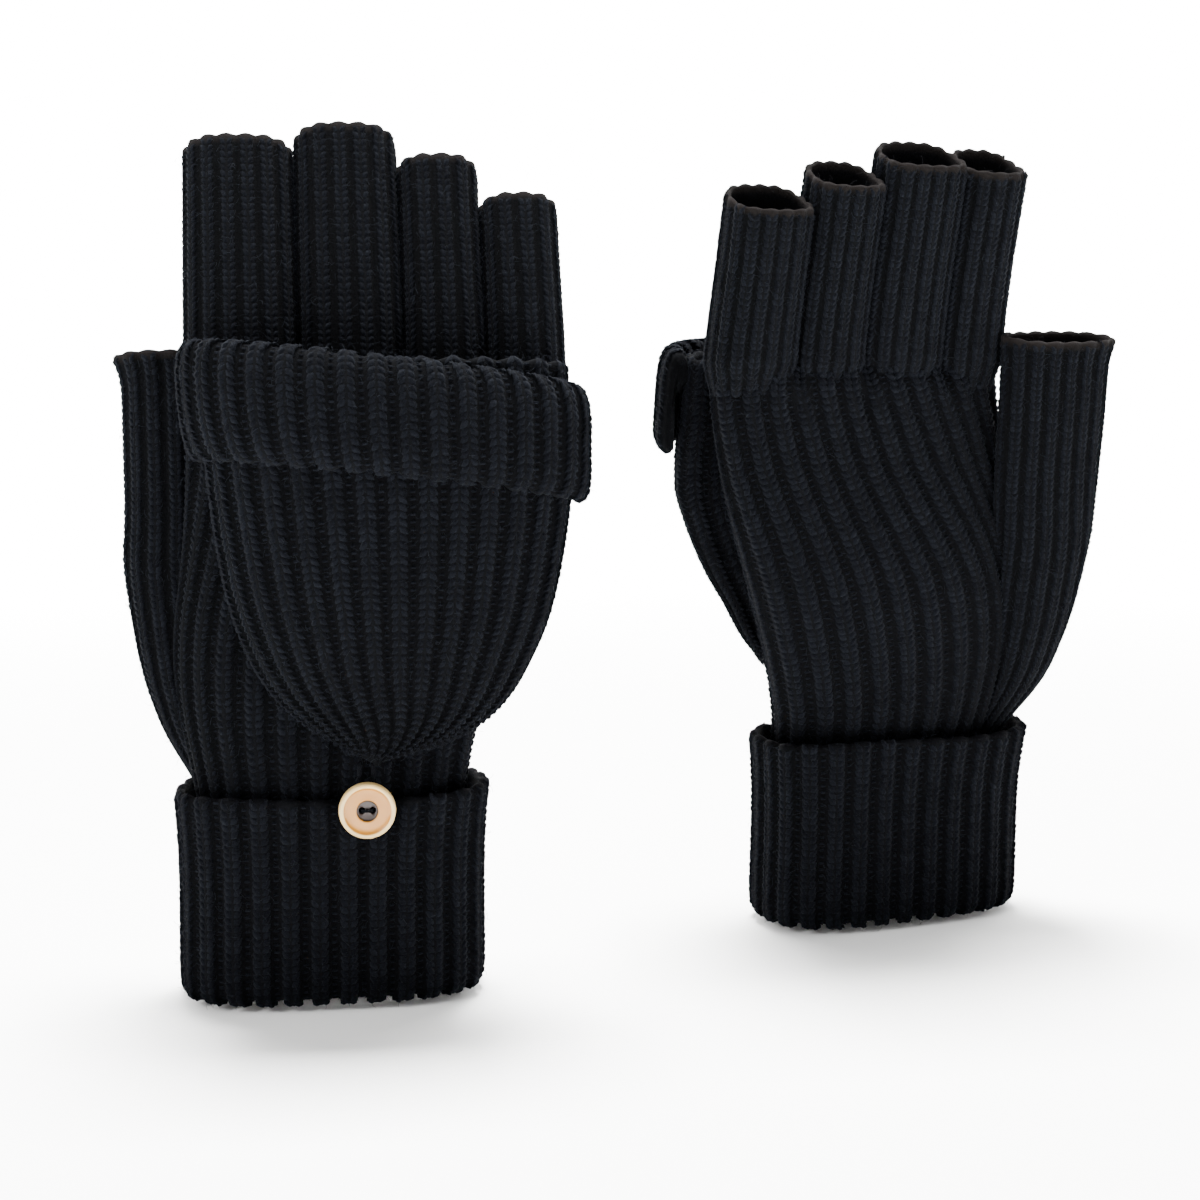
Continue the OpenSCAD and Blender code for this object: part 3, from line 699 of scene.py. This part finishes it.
def buildBrim(side, seed):
    form = brimForm
    cols = form["ribs"] * form["perRib"] + 1
    rings = []
    for extra, u in evenRow(np.array(brimPath, float), 30):
        lifted, tilt, bulge = brimHang[side]
        w, v = hoodRing(side, max(u, 0), extra + bulge)
        a = np.linspace(0, 2 * np.pi, 480, endpoint=False) + np.pi
        front = np.where(np.sin(a) > 0.02)[0]
        order = front[np.argsort(-w[front])]
        ring = hoodPoint(w[order], v[order], np.full(len(order), u))
        ring[:, 2] += lifted + tilt * (ring[:, 0] - 11)  # the band sits higher on the thumb side
        rings.append(evenRow(ring, cols))
    grid = np.array(rings)
    fabric = knitShell(side + "BrimFabric", side, grid, form["wall"],
                       ribShape(form["ribs"], form["perRib"], form["depth"], True), closed=False)
    setMaterial(fabric, groundYarn)
    yarn = layYarn("BrimStitches", side, stitches, grid, ribColumns(form, 0.5), form, seed, closed=False, lift=-0.5)
    dips = layYarn("BrimPurls", side, purls, grid, ribColumns(form, 0)[1:], form, seed, "purl", 4, 3, closed=False, lift=-1.3)
    return [fabric, yarn, dips, growFuzz(side, "Brim", fabric, fuzzForm["rib"], seed)]


# button, its thread, the loop and the seam that holds the hood

buttonForm = dict(radius=6.9, thick=3.2, lift=2.4, x=7.0, y=-20.0, z=52.0, hole=0.85, apart=1.3, recess=2.6)


def buttonPoint(across, up, out):
    f = buttonForm
    return (f["x"] + across, f["y"] - out, f["z"] + up)


def plainMaterial(name, colour, rough, coat, speckle, lighter):
    mat = bpy.data.materials.new(name)
    mat.use_nodes = True
    tree = mat.node_tree
    tree.nodes.clear()
    place = addNode(tree, "ShaderNodeTexCoord").outputs["Object"]
    cloud = addNode(tree, "ShaderNodeTexNoise", {"Vector": place, "Scale": 220.0, "Detail": 2.0})  # 4 mm clouding
    tint = addNode(tree, "ShaderNodeMix",
                   {0: cloud.outputs["Fac"], 6: hexColour(colour), 7: hexColour(lighter)}, data_type="RGBA")
    scuff = addNode(tree, "ShaderNodeTexNoise", {"Vector": place, "Scale": 1800.0, "Detail": 2.0})
    rub = addNode(tree, "ShaderNodeMath", {0: scuff.outputs["Fac"], 1: speckle, 2: rough}, operation="MULTIPLY_ADD")
    skin = addNode(tree, "ShaderNodeBsdfPrincipled", {"Base Color": tint.outputs[2], "Roughness": rub.outputs[0],
                                                      "Coat Weight": coat, "Coat Roughness": 0.12, "IOR": 1.5})
    addNode(tree, "ShaderNodeOutputMaterial", {"Surface": skin.outputs[0]})
    return mat


# cast polyester resin: cream body with a golden enamelled face, polished
rimResin = plainMaterial("cream cast resin rim", "#b0925a", 0.34, 0.1, 0.05, "#bba06c")
faceResin = plainMaterial("golden enamelled resin face", "#8f5a00", 0.34, 0.1, 0.05, "#9c6604")
wellResin = plainMaterial("dark brown resin well", "#160903", 0.45, 0.0, 0.05, "#241008")


def buildButton(side):
    f = buttonForm
    r, t = f["radius"], f["thick"]
    profile = [(0.0, 0.0), (r - 1.3, 0.0), (r - 0.5, 0.25), (r - 0.1, 0.8), (r, 1.6), (r - 0.12, t - 0.55), (r - 0.4, t - 0.12),
               (r - 0.8, t), (r - 1.15, t - 0.1), (r - 1.4, t - 0.5), (r - 1.75, t - 0.72), (r - 2.6, t - 0.78),
               (f["recess"] + 0.45, t - 0.62), (f["recess"] + 0.2, t - 0.6), (f["recess"], t - 0.75), (f["recess"] - 0.15, t - 1.2),
               (f["recess"] - 0.4, t - 1.35), (0.0, t - 1.4)]
    bm = bmesh.new()
    chain = [bm.verts.new((x, 0, z)) for x, z in profile]
    edges = [bm.edges.new((a, b)) for a, b in zip(chain, chain[1:])]
    bmesh.ops.spin(bm, geom=chain + edges, cent=(0, 0, 0), axis=(0, 0, 1), angle=2 * math.pi, steps=72, use_merge=True)
    bmesh.ops.remove_doubles(bm, verts=bm.verts[:], dist=1e-4)
    bmesh.ops.recalc_face_normals(bm, faces=bm.faces[:])
    body = bpy.data.meshes.new(side + "ButtonBody")
    bm.to_mesh(body)
    bm.free()
    holder = bpy.data.objects.new(side + "ButtonHolder", body)
    bpy.context.scene.collection.objects.link(holder)
    cutters = []
    for s in (-1, 1):
        bm = bmesh.new()
        bmesh.ops.create_cone(bm, cap_ends=True, segments=28, radius1=f["hole"], radius2=f["hole"], depth=12)
        tool = bpy.data.meshes.new("holeTool")
        bm.to_mesh(tool)
        bm.free()
        cutter = bpy.data.objects.new("holeTool", tool)
        cutter.location = (f["apart"] * s, 0, 1)
        bpy.context.scene.collection.objects.link(cutter)
        cutters.append(cutter)
        cut = holder.modifiers.new("hole", "BOOLEAN")
        cut.object = cutter
        cut.solver = "EXACT"
    graph = bpy.context.evaluated_depsgraph_get()
    mesh = bpy.data.meshes.new_from_object(holder.evaluated_get(graph), depsgraph=graph)
    for extra in cutters + [holder]:
        bpy.data.objects.remove(extra)
    local = np.array([v.co for v in mesh.vertices])
    mesh.materials.clear()
    for mat in (rimResin, faceResin, wellResin):
        mesh.materials.append(mat)
    for face in mesh.polygons:
        c = face.center
        far = math.hypot(c.x, c.y)
        front = c.z > t - 1.6
        inWell = far < f["recess"] - 0.05 and (front or far < 2.2)
        face.material_index = 2 if inWell else 1 if far < r - 1.25 and front else 0
        face.use_smooth = True
    spots = np.array([buttonPoint(v[0], v[1], f["lift"] + v[2]) for v in local])
    mesh.vertices.foreach_set("co", toRow(side, spots, False).astype(np.float32).ravel())
    mesh.update()
    obj = bpy.data.objects.new(side + "ButtonResin", mesh)
    bpy.context.scene.collection.objects.link(obj)
    edge = obj.modifiers.new("edge", "WEIGHTED_NORMAL")
    edge.keep_sharp = True
    return obj


# a plied cord: two strands twisted round each other along a smooth route
def twistedCord(name, side, route, radius, twist, swaying=False, rounds=8):
    p = np.array(route, float)
    d = np.r_[0, np.cumsum(np.linalg.norm(np.diff(p, axis=0), axis=1))]
    n = max(8, int(d[-1] / 0.35))
    t = np.linspace(0, d[-1], n)
    line = np.stack([np.interp(t, d, p[:, i]) for i in range(3)], 1)
    for _ in range(3):
        line[1:-1] = (line[:-2] + 2 * line[1:-1] + line[2:]) / 4
    along = np.gradient(line, axis=0)
    along /= np.linalg.norm(along, axis=1, keepdims=True)
    side1 = np.cross(along, np.array([0.31, 0.87, 0.38]))
    side1 /= np.linalg.norm(side1, axis=1, keepdims=True)
    side2 = np.cross(along, side1)
    verts, faces = [], []
    for k in range(2):
        turn = t * twist + k * math.pi
        axis = line + (side1 * np.cos(turn)[:, None] + side2 * np.sin(turn)[:, None]) * radius * 0.48
        base = len(verts)
        for i in range(n):
            for j in range(rounds):
                a = 2 * math.pi * j / rounds
                verts.append(axis[i] + (side1[i] * math.cos(a) + side2[i] * math.sin(a)) * radius * 0.56)
        for i in range(n - 1):
            for j in range(rounds):
                m = (j + 1) % rounds
                here, there = base + i * rounds, base + (i + 1) * rounds
                faces.append((here + j, here + m, there + m, there + j))
        faces.append(tuple(base + j for j in range(rounds)))
        faces.append(tuple(base + (n - 1) * rounds + j for j in range(rounds)))
    obj = makeMesh(side + name, toRow(side, verts, swaying), faces,
                   {"tone": np.full(len(verts), 0.6), "rim": np.zeros(len(verts))})
    setMaterial(obj, threadYarn)
    return obj


loopForm = dict(half=2.15, radius=0.62, twist=1.6, out=1.2)
whipForm = dict(count=27, first=-31, gap=3.1, radius=0.42, twist=2.4)
threadForm = dict(radius=0.26, twist=4.5)


def buildFastening(side):
    f, bight, whipping = buttonForm, loopForm, whipForm
    face = f["lift"] + f["thick"] - 1.4
    thread = []
    for k, rise in enumerate((-0.22, 0.22)):
        route = [buttonPoint(f["apart"] * s, rise * 0.6, out) for s, out in ((-1, 0.2), (-1, face - 0.3), (-0.95, face + 0.35))]
        route += [buttonPoint(f["apart"] * s, rise, face + 0.62) for s in (-0.5, 0, 0.5)]
        route += [buttonPoint(f["apart"] * s, rise * 0.6, out) for s, out in ((0.95, face + 0.35), (1, face - 0.3), (1, 0.2))]
        thread.append(twistedCord("ButtonThread%d" % (k + 1), side, route,
                                  threadForm["radius"], threadForm["twist"]))
    bend = [buttonPoint(-bight["half"] * math.cos(a), -bight["half"] * math.sin(a), bight["out"])
            for a in np.linspace(0, math.pi, 16)]
    loop = twistedCord("Loop", side, [buttonPoint(-1.5, 10.5, 1.0), buttonPoint(-2.1, 5.0, bight["out"])] + bend
                       + [buttonPoint(2.1, 5.0, bight["out"]), buttonPoint(1.5, 10.5, 1.0)],
                       bight["radius"], bight["twist"])
    whip = []
    for i in range(whipping["count"]):
        x = whipping["first"] + i * whipping["gap"]
        whip += [(x, hingeY - 0.9, kneeZ - 1.4), (x + 0.7, hingeY + 0.2, kneeZ + 0.9), (x + 1.6, hingeY + 1.7, kneeZ + 0.3),
                 (x + 2.3, hingeY + 0.6, kneeZ - 1.5)]
    seam = twistedCord("Seam", side, whip, whipping["radius"], whipping["twist"], True, 6)
    return thread, loop, seam


# put it all together

def rideAll(parts, body):
    for part in parts:
        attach(part, body)


for number, side in enumerate(("front", "rear")):
    seed = 11 + 40 * number
    hand = buildHand(side, seed)
    rideAll(hand, bodies[side]["mitten"])
    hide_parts(side + "_hand", side + "_gusset", side + "_cuff_lining")
    for k, name in enumerate(fingers[side]):
        tube = buildFinger(side, name, seed + 1 + k)
        rideAll(tube, bodies[side]["mitten"])
        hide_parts(side + "_" + name)
        for part in tube:
            tuple(toRow(side, [(11.5, 8, kneeZ)])[0])
            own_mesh(part)
    thumb = buildThumb(side, seed + 6)
    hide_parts(side + "_thumb")
    for part in thumb:
        tuple(toRow(side, [(-45, 20, 108)])[0])
        tuple(toRow(side, [(-45, 20, 128)])[0])
        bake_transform(part)
    cuff = buildCuff(side, seed + 7)
    rideAll(cuff, bodies[side]["mitten"])
    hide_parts(side + "_cuff")
    hood = buildHood(side, seed + 8)
    rideAll(hood, bodies[side]["hood"])
    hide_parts(side + "_hood_back", side + "_hood_pouch")
    brim = buildBrim(side, seed + 9)
    rideAll(brim, bodies[side]["hood"])
    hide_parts(side + "_hood_brim")
    button = buildButton(side)
    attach(button, bodies[side]["button"])
    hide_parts(side + "_button")
    thread, loop, seam = buildFastening(side)
    rideAll(thread + [seam], bodies[side]["mitten"])
    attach(loop, bodies[side]["hood"])
    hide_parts(side + "_thread")
    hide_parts(side + "_loop")
    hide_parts(side + "_seam")
    print(side, "mitten knitted")

# floor, light and camera

stage = dict(white="#fdfdfc", rough=0.9, glowFrom=0.28, glowTo=1.1, glow=9.0, world=0.9)  # metres from the middle, and strengths
lamps = {"topLight": dict(spot=(-0.02, 0.30, 1.5), aim=(0, 0, 0.05), size=0.5, power=230),
         "sideLight": dict(spot=(-1.0, -0.9, 0.9), aim=(0, 0, 0.12), size=0.5, power=18)}
shot = dict(lens=63.0, sensor=36.0, across=0.0663, back=0.516, height=0.1746, dip=8.24)  # mm, metres from the front foot, degrees


def buildStage():
    floor = makeMesh("floor", [(-4, -3, 0), (4, -3, 0), (4, 2.6, 0), (-4, 2.6, 0)], [(0, 1, 2, 3)])
    backdrop = makeMesh("backdrop", [(-4, 2.6, -0.1), (4, 2.6, -0.1), (4, 2.6, 3), (-4, 2.6, 3)], [(0, 1, 2, 3)])
    mat = bpy.data.materials.new("matt white paper, lit from under at its far parts")
    mat.use_nodes = True
    tree = mat.node_tree
    skin = tree.nodes["Principled BSDF"]
    skin.inputs["Base Color"].default_value = hexColour(stage["white"])
    skin.inputs["Roughness"].default_value = stage["rough"]
    skin.inputs["Emission Color"].default_value = (1, 1, 1, 1)
    place = addNode(tree, "ShaderNodeTexCoord").outputs["Object"]
    away = addNode(tree, "ShaderNodeVectorMath", {0: place}, operation="LENGTH")
    glow = addNode(tree, "ShaderNodeMapRange",
                   {"Value": away.outputs["Value"], "From Min": stage["glowFrom"], "From Max": stage["glowTo"],
                    "To Max": stage["glow"]}, interpolation_type="SMOOTHSTEP")
    tree.links.new(glow.outputs["Result"], skin.inputs["Emission Strength"])
    setMaterial(floor, mat)
    setMaterial(backdrop, mat)
    world = bpy.data.worlds.new("studio")
    bpy.context.scene.world = world
    world.use_nodes = True
    world.node_tree.nodes["Background"].inputs[0].default_value = (1, 1, 1, 1)
    world.node_tree.nodes["Background"].inputs[1].default_value = stage["world"]
    for name, light in lamps.items():
        lamp = bpy.data.lights.new(name, "AREA")
        lamp.size = light["size"]
        lamp.energy = light["power"]
        obj = bpy.data.objects.new(name, lamp)
        obj.location = light["spot"]
        obj.rotation_euler = (Vector(light["aim"]) - Vector(light["spot"])).to_track_quat("-Z", "Y").to_euler()
        bpy.context.scene.collection.objects.link(obj)


def buildCamera():
    view = bpy.data.cameras.new("studioCamera")
    view.lens = shot["lens"]
    view.sensor_width = shot["sensor"]
    obj = bpy.data.objects.new("studioCamera", view)
    foot = places["front"].translation
    obj.location = (foot.x + shot["across"], foot.y - shot["back"], shot["height"])
    obj.rotation_euler = (math.radians(90 - shot["dip"]), 0, 0)
    bpy.context.scene.collection.objects.link(obj)
    bpy.context.scene.camera = obj


buildStage()
buildCamera()
print("stage ready")
